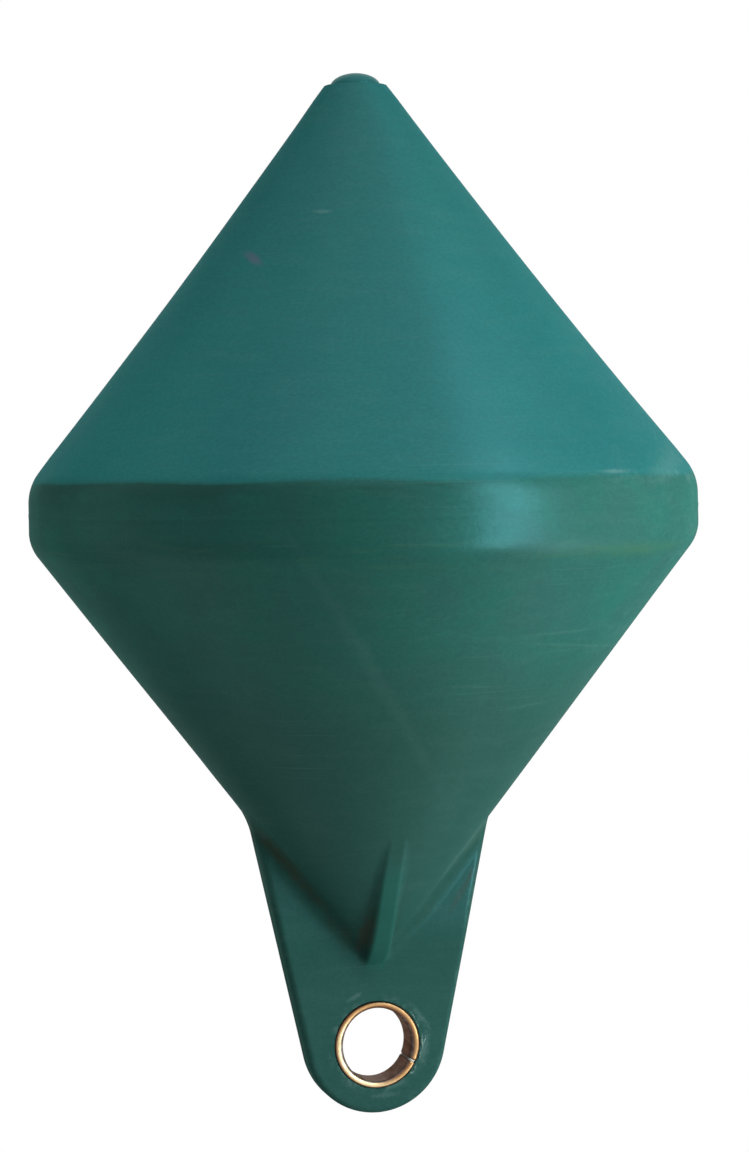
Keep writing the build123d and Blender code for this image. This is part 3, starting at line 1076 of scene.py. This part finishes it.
# painted shade: a broken dark line under the band's top edge, on the shaded side
under_edge = between(tree, wavy_height, 0.010, 0.0235, FADE_EDGE_Z - 0.0012, FADE_EDGE_Z)
shade_patches = blotched(tree, place, 11, 5, 0.36, 0.6, stretch=(1, 1, 4))
shade_under_edge = product(tree, under_edge, shade_patches, step(tree, to_sun, 0.0, 0.45, 1, 0))
colour = stain(tree, shade_under_edge, 0.48, colour, SOOT_AND_SHADE)
# painted shade: a darker veil on the shaded side below the band
veil = product(tree, step(tree, height, -0.12, -0.03), math(tree, "SUBTRACT", 1, bleached_and_lit),
               between(tree, to_sun, -1.0, -0.6, -0.2, 0.35))
colour = stain(tree, veil, 0.20, colour, SOOT_AND_SHADE)
print("soot: one line and one veil")

# %% Algae under the band, and painted shade in the corners
corner = add_node(tree, "ShaderNodeAttribute", attribute_name="corner").outputs["Fac"]
low_band = between(tree, height, -0.030, -0.012, -0.009, -0.002)
olive_streaks = blotched(tree, place, 18, low=0.5, high=0.75, stretch=(1, 1, 14))
colour = stain(tree, product(tree, low_band, olive_streaks), 0.45, colour, OLIVE)

# painted shade: the corners round the lug darkened on the shaded side
shaded = step(tree, to_sun, -0.1, 0.6, 1, 0.12)
corner_shade_patches = blotched(tree, place, 55, 6, 0.25, 0.75)
corner_shade = product(tree, math(tree, "POWER", corner, 1.5), shaded,
               math(tree, "ADD", product(tree, corner_shade_patches, 0.45), 0.25))
colour = blend(tree, corner_shade, colour, SOOT_AND_SHADE)
rust_patches = blotched(tree, place, 38, low=0.52, high=0.7)
rust = product(tree, math(tree, "POWER", corner, 2), shaded, rust_patches)
colour = stain(tree, rust, 0.45, colour, BROWN)
print("dirt: olive streaks, soot and rust")

# %% Scratches and rubbed places
edge = add_node(tree, "ShaderNodeAttribute", attribute_name="edge").outputs["Fac"]
level_scratches = use_group(tree, scratches, {"Place": place, "Stretch": (7, 7, 1100),
                                              "Amount": 0.10, "Patches": 16})
slant_scratches = use_group(tree, scratches, {"Place": place, "Turn": (0.3, 0.9, 0.2),
                                              "Stretch": (900, 12, 9), "Amount": 0.07,
                                              "Patches": 21})
slant_share = step(tree, height, -0.25, -0.15, 0, 0.5)
scuffed = math(tree, "MAXIMUM", level_scratches, product(tree, slant_scratches, slant_share))
colour = stain(tree, scuffed, step(tree, height, 0.02, 0.10, 0.10, 0.05), colour, CHALK)

worn_patches = blotched(tree, place, 75, 7, 0.50, 0.66, stretch=(1, 1, 2.2))
worn_places = math(tree, "MAXIMUM", step(tree, height, -0.1, -0.05, 0.5, 0),
                   step(tree, to_sun, 0.45, 0.85, 0.08, 1))
colour = stain(tree, product(tree, edge, worn_patches, worn_places), 0.13, colour, CHALK)
rubbed = product(tree, worn_patches, step(tree, to_sun, 0.72, 0.97),
                 between(tree, height, -0.12, -0.04, 0.03, 0.12))
colour = stain(tree, rubbed, 0.07, colour, CHALK)

# the crests of the ridges, painted lighter in the green below the band
across = math(tree, "ABSOLUTE", axes(tree, place)[0])
crest = product(tree, step(tree, across, RIDGE_HALF_WIDTH - 0.0025, RIDGE_HALF_WIDTH, 1, 0),
                between(tree, height, RIDGE_FOOT_Z - 0.012, RIDGE_FOOT_Z - 0.002, -0.215, -0.190))
colour = stain(tree, crest, 0.55, colour, GREEN_BELOW)

# the plastic that was stretched round the bush
from_eye = vector_math(tree, "LENGTH", flat_from_eye(tree, place))
stressed = product(tree, step(tree, from_eye, 0.0262, 0.0325, 1, 0),
                   blotched(tree, place, 150, 5, 0.42, 0.72))
colour = stain(tree, stressed, 0.35, colour, CHALK)

# %% [markdown]
# ### Single marks
#
# Most marks in the table can be told apart on the real buoy, so each has its own place.
# Four are painted light: brown painted shade in the left crease, a painted shadow beside
# the ridge, and painted highlights along the right corner and on the lug's left edge.
# They come last, over the painted shade and the rubbed places. A picture laid on the skin
# could hold them too, but a table is easier to read and to change.

# %% Lay the marks over everything
for name, x, z, half_length, half_width, angle, softness, ragged, grain, paint, strength in MARKS:
    mask = use_group(tree, one_mark, {
        "Place": place, "Centre": (x, 0, z), "Half length": half_length,
        "Half width": half_width, "Angle": np.radians(angle), "Softness": softness,
        "Ragged": ragged, "Grain": grain})
    colour = stain(tree, mask, strength, colour, paint)
    print("mark:", name)

# %% [markdown]
# ### Gloss and relief
#
# Moulded polyethylene has a waxy shine, which this buoy keeps where it is seen face on.
# Knocked edges low down, the corners and the lug are dull. The skin is set rougher
# towards its outline, or the outline would turn pale, which it doesn't on worn plastic.
# Three bumps over each other give a fine orange peel, a grain, and scratches cut in.

# %% The moulding's gloss and fine relief
low_edge = product(tree, edge, step(tree, height, -0.1, -0.05, 0.9, 0))
dull = math(tree, "MAXIMUM", math(tree, "MAXIMUM", low_edge, corner),
            step(tree, height, -0.27, -0.20, 0.8, 0))
facing = add_node(tree, "ShaderNodeLayerWeight", {"Blend": 0.5}).outputs["Facing"]
roughness = step(tree, facing, 0.18, 0.62, 0.29, 0.80)
roughness = math(tree, "ADD", roughness, product(tree, cloudy, 0.05))
roughness = math(tree, "ADD", roughness, product(tree, scuffed, 0.2))
roughness = math(tree, "MAXIMUM", roughness, product(tree, dull, 0.85))
relief = bump(tree, noise(tree, place, 210, 2), 0.25, 0.0005)
relief = bump(tree, grainy, 0.2, 0.0001, relief)
relief = bump(tree, scuffed, 0.25, 0.0001, relief, invert=True)
fill(tree, shader, {"Base Color": colour, "Roughness": roughness, "Normal": relief,
                    "Specular IOR Level": step(tree, dull, 0, 1, 0.1, 0.03),
                    "Specular Tint": SHEEN})
moulding.data.materials.append(plastic)
print("material:", plastic.name, "with", len(tree.nodes), "nodes")

# %% [markdown]
# ## Plug, torn plastic and brass
#
# The plug is the same plastic with less wear, so its tree is short. The curls and the
# gap's filling are stretched plastic, which turns pale, and inside the bore the filling
# is dark brown. The brass rim is painted pale cream at the lower left, a painted
# highlight, copper red on the rest of its rounded edge, and brown inside the bore.

# %% The plug's plastic
plug_plastic, tree, shader, place = new_material("plug_polyethylene")
colour = blend(tree, blotched(tree, place, 60, 6), (0.024, 0.178, 0.174, 1),
               (0.022, 0.158, 0.156, 1))
colour = stain(tree, blotched(tree, place, 600, 3), 0.15, colour, SOOT_AND_SHADE)
fill(tree, shader, {"Base Color": colour, "Roughness": 0.4, "Specular IOR Level": 0.1,
                    "Specular Tint": SHEEN})
plug.data.materials.append(plug_plastic)

# %% Torn plastic
torn_plastic, tree, shader, place = new_material("torn_polyethylene")
colour = blend(tree, blotched(tree, place, 420, 3), (0.07, 0.20, 0.17, 1), (0.26, 0.40, 0.36, 1))
fill(tree, shader, {"Base Color": colour, "Roughness": 0.6, "Specular IOR Level": 0.2})
curls.data.materials.append(torn_plastic)

# %% The gap's filling
pale_plastic, tree, shader, place = new_material("squeezed_polyethylene")
from_middle = math(tree, "ABSOLUTE", axes(tree, place)[1])
in_the_bore = step(tree, from_middle, 0.0055, 0.0085, 1, 0)
colour = blend(tree, blotched(tree, place, 700, 3), (0.62, 0.66, 0.58, 1), (0.80, 0.80, 0.72, 1))
colour = blend(tree, in_the_bore, colour, (0.16, 0.13, 0.10, 1))
fill(tree, shader, {"Base Color": colour, "Roughness": 0.6, "Specular IOR Level": 0.2})
filling.data.materials.append(pale_plastic)

# %% Worn brass
BRASS_CREAM = (0.37, 0.195, 0.110, 1)
BRASS_COPPER = (0.235, 0.088, 0.036, 1)
BRASS_DULL = (0.13, 0.048, 0.021, 1)
BRASS_BROWN = (0.060, 0.034, 0.026, 1)
BORE_GREY = (0.26, 0.20, 0.185, 1)
BRASS_SHEEN = (0.62, 0.48, 0.40, 1)
# the side of the rim where its highlight is painted
GLINT_SIDE = (-0.77, 0, -0.64)    # from the eye's middle, to the lower left

brass, tree, shader, place = new_material("worn_brass")
flat = flat_from_eye(tree, place)
from_eye = vector_math(tree, "LENGTH", flat)
round_eye = vector_math(tree, "NORMALIZE", flat)
to_glint_side = vector_math(tree, "DOT_PRODUCT", round_eye, GLINT_SIDE)
upwards = axes(tree, round_eye)[2]
tarnish = blotched(tree, place, 130, 6, 0.38, 0.68)
bore_streaks = blotched(tree, place, 260, 3, 0.28, 0.75, stretch=(1, 0.12, 1))

rim_colour = stain(tree, tarnish, 0.6, BRASS_COPPER, BRASS_DULL)
# painted highlight: the rim painted pale cream towards the lower left
painted_glint = product(tree, step(tree, to_glint_side, 0.0, 0.95),
                   math(tree, "SUBTRACT", 1, product(tree, tarnish, 0.45)))
rim_colour = blend(tree, painted_glint, rim_colour, BRASS_CREAM)
bore_colour = stain(tree, bore_streaks, 0.40, BRASS_BROWN, BORE_GREY)
bore_colour = stain(tree, step(tree, upwards, -0.995, -0.90, 1, 0), 0.5, bore_colour, BORE_GREY)
on_rim = step(tree, from_eye, BUSH_BORE + 0.0008, BUSH_BORE + 0.0020)
colour = blend(tree, on_rim, bore_colour, rim_colour)
outer_rim = step(tree, from_eye, BUSH_RADIUS - 0.0012, BUSH_RADIUS - 0.0002)
colour = stain(tree, outer_rim, 0.7, colour, BRASS_BROWN)
roughness = math(tree, "ADD", step(tree, from_eye, BUSH_BORE, BUSH_BORE + 0.0016, 0.50, 0.32),
                 product(tree, tarnish, 0.16))
relief = bump(tree, blotched(tree, place, 60, 5, stretch=(1, 26, 1)), 0.35, 0.0001)
fill(tree, shader, {"Base Color": colour, "Roughness": roughness, "Normal": relief,
                    "Metallic": 1.0, "Specular Tint": BRASS_SHEEN})
bush.data.materials.append(brass)
print("materials:", [material.name for material in bpy.data.materials])

# %% [markdown]
# ## The place and the light
#
# The buoy hangs free in front of white, as in a catalogue photo, a quarter of a metre over
# a pale floor. The world and the floor are white to the camera and in mirrored light, and a
# plain grey to everything else, so the white adds no light of its own. The floor
# keeps a soft shadow, fades out sideways, and can't be seen from below.

# %% World
AMBIENT = 0.24
world = bpy.data.worlds.new("white_room")
bpy.context.scene.world = world


def seen_directly(tree):
    """1 for camera, glossy and transmission rays, 0 for the rest."""
    rays = add_node(tree, "ShaderNodeLightPath").outputs
    mirrored = math(tree, "MAXIMUM", rays["Is Glossy Ray"], rays["Is Transmission Ray"])
    return math(tree, "MAXIMUM", rays["Is Camera Ray"], mirrored)


tree = emptied_tree(world)
world_colour = blend(tree, seen_directly(tree), (AMBIENT, AMBIENT, AMBIENT, 1), (1, 1, 1, 1))
background = add_node(tree, "ShaderNodeBackground", {"Color": world_colour})
add_node(tree, "ShaderNodeOutputWorld", {"Surface": background.outputs[0]})
print("world:", world.name)

# %% Floor
FLOOR_Z = -0.61
FLOOR_RADIUS = 1.0
FLOOR_SIDES = 64
FLOOR_GREY = 0.45
FLOOR_GLOW = 0.74            # with the lamps' light, this makes the floor white
FLOOR_FADE = (0.35, 0.95)    # distances from the middle between which it fades out

turn = np.arange(FLOOR_SIDES) * 2 * np.pi / FLOOR_SIDES
rim = np.stack([FLOOR_RADIUS * np.cos(turn), FLOOR_RADIUS * np.sin(turn),
                np.full(FLOOR_SIDES, FLOOR_Z)], 1)
floor_mesh = bpy.data.meshes.new("floor")
floor_mesh.from_pydata(rim, [], [list(range(FLOOR_SIDES))])
floor = new_object("floor", floor_mesh)

floor_material = bpy.data.materials.new("pale_floor")
tree = emptied_tree(floor_material)
floor_place = tree.nodes.new("ShaderNodeTexCoord").outputs["Object"]
from_middle = vector_math(tree, "LENGTH", vector_math(tree, "MULTIPLY", floor_place, (1, 1, 0)))
matte = add_node(tree, "ShaderNodeBsdfDiffuse", {"Color": (FLOOR_GREY,) * 3 + (1,)})
glow = add_node(tree, "ShaderNodeEmission",
                {"Strength": product(tree, seen_directly(tree), FLOOR_GLOW)})
lit = add_node(tree, "ShaderNodeAddShader", {0: matte.outputs[0], 1: glow.outputs[0]})
clear = tree.nodes.new("ShaderNodeBsdfTransparent")
backfacing = add_node(tree, "ShaderNodeNewGeometry").outputs["Backfacing"]
gone = math(tree, "MAXIMUM", backfacing, step(tree, from_middle, *FLOOR_FADE))
shown = add_node(tree, "ShaderNodeMixShader", {0: gone, 1: lit.outputs[0], 2: clear.outputs[0]})
add_node(tree, "ShaderNodeOutputMaterial", {"Surface": shown.outputs[0]})
floor.data.materials.append(floor_material)
print(f"floor {lug_low.z - FLOOR_Z:.3f} m below the lug's tip")

# %% [markdown]
# ### Lamps
#
# Most light comes from a soft lamp overhead, which lifts the upper cone over the band, and
# from a tall bright opening on the right. A weak lamp fills the right side, and two low
# ones reach the lower cone from the right and the left. Two more light only what is
# mirrored: one is the pale upright streak on the band, the other the glint on the corner
# above it. A lamp that lit the plastic as well would brighten the whole side. Each lamp's
# brightness is given as a plain number, where 1 lights a surface that faces it as white
# paper would be lit in the open.

# %% Place the lamps
CAMERA_YAW = 14.3            # degrees that the camera stands to the left of the front


def soft_lamp(name, turn, climb, distance, width, height, brightness, colour=(1, 1, 1)):
    """A rectangular lamp that faces the buoy. The turn is counted from the camera's side
    to the right, and the climb up from level, in degrees.

    A lamp of power P lights a surface at distance d as strongly as a white sky does when
    P is pi squared times d squared.
    """
    data = bpy.data.lights.new(name, "AREA")
    data.shape = "RECTANGLE"
    data.size = width
    data.size_y = height
    data.energy = brightness * (np.pi * distance) ** 2
    data.color = colour
    lamp = new_object(name, data)
    round_turn, round_climb = np.radians(turn - CAMERA_YAW), np.radians(climb)
    direction = Vector((np.sin(round_turn) * np.cos(round_climb),
                        -np.cos(round_turn) * np.cos(round_climb), np.sin(round_climb)))
    lamp.location = direction * distance
    lamp.rotation_euler = direction.to_track_quat("Z", "Y").to_euler()
    lamp.visible_camera = False
    return lamp


soft_lamp("overhead", 16, 68, 2.8, 3.0, 3.0, 0.565, (0.94, 0.98, 1.0))
soft_lamp("tall_opening", 60, -2, 1.15, 0.36, 1.0, 0.43, (0.93, 1.0, 0.99))
soft_lamp("right_fill", 92, -4, 1.05, 0.5, 0.8, 0.11)
soft_lamp("low_right", 76, -33, 1.75, 1.0, 0.6, 0.40)
soft_lamp("low_left", -90, -50, 1.5, 0.9, 0.7, 0.13)
streak = soft_lamp("mirrored_streak", 47, 0, 2.0, 0.44, 2.8, 4.0, (0.45, 0.92, 1.0))
corner_glint = soft_lamp("mirrored_corner", 61, 50, 0.65, 0.16, 0.14, 0.36, (0.50, 0.95, 1.0))
for lamp in (streak, corner_glint):
    lamp.visible_diffuse = False
print("lamps:", [lamp.name for lamp in bpy.data.lights])

# %% [markdown]
# ## The camera
#
# The camera stands where the photographer did: 1.8 m away, a little to the left, 5 cm
# above the widest line and looking slightly down, with a long lens. The picture leans by
# one degree, as the photo does.

# %% Camera
CAMERA_DISTANCE = 1.7985
CAMERA_HEIGHT = 0.0498
CAMERA_LENS = 93.75          # millimetres, on a sensor 36 mm wide
AIM_TURN = -14.49            # degrees: to the right, down and leaning
AIM_DOWN = 2.6585
AIM_LEAN = -1.08

camera_data = bpy.data.cameras.new("camera")
camera_data.sensor_fit = "AUTO"
camera_data.sensor_width = 36
camera_data.lens = CAMERA_LENS
camera = new_object("camera", camera_data)
yaw = np.radians(CAMERA_YAW)
camera.location = (-CAMERA_DISTANCE * np.sin(yaw), -CAMERA_DISTANCE * np.cos(yaw), CAMERA_HEIGHT)
aim = (Matrix.Rotation(np.radians(AIM_TURN), 3, "Z")
       @ Matrix.Rotation(np.radians(90 - AIM_DOWN), 3, "X")
       @ Matrix.Rotation(np.radians(AIM_LEAN), 3, "Z"))
camera.rotation_euler = aim.to_euler()
bpy.context.scene.camera = camera
bpy.context.scene.view_settings.view_transform = "Standard"
print("camera at", [round(v, 3) for v in camera.location])
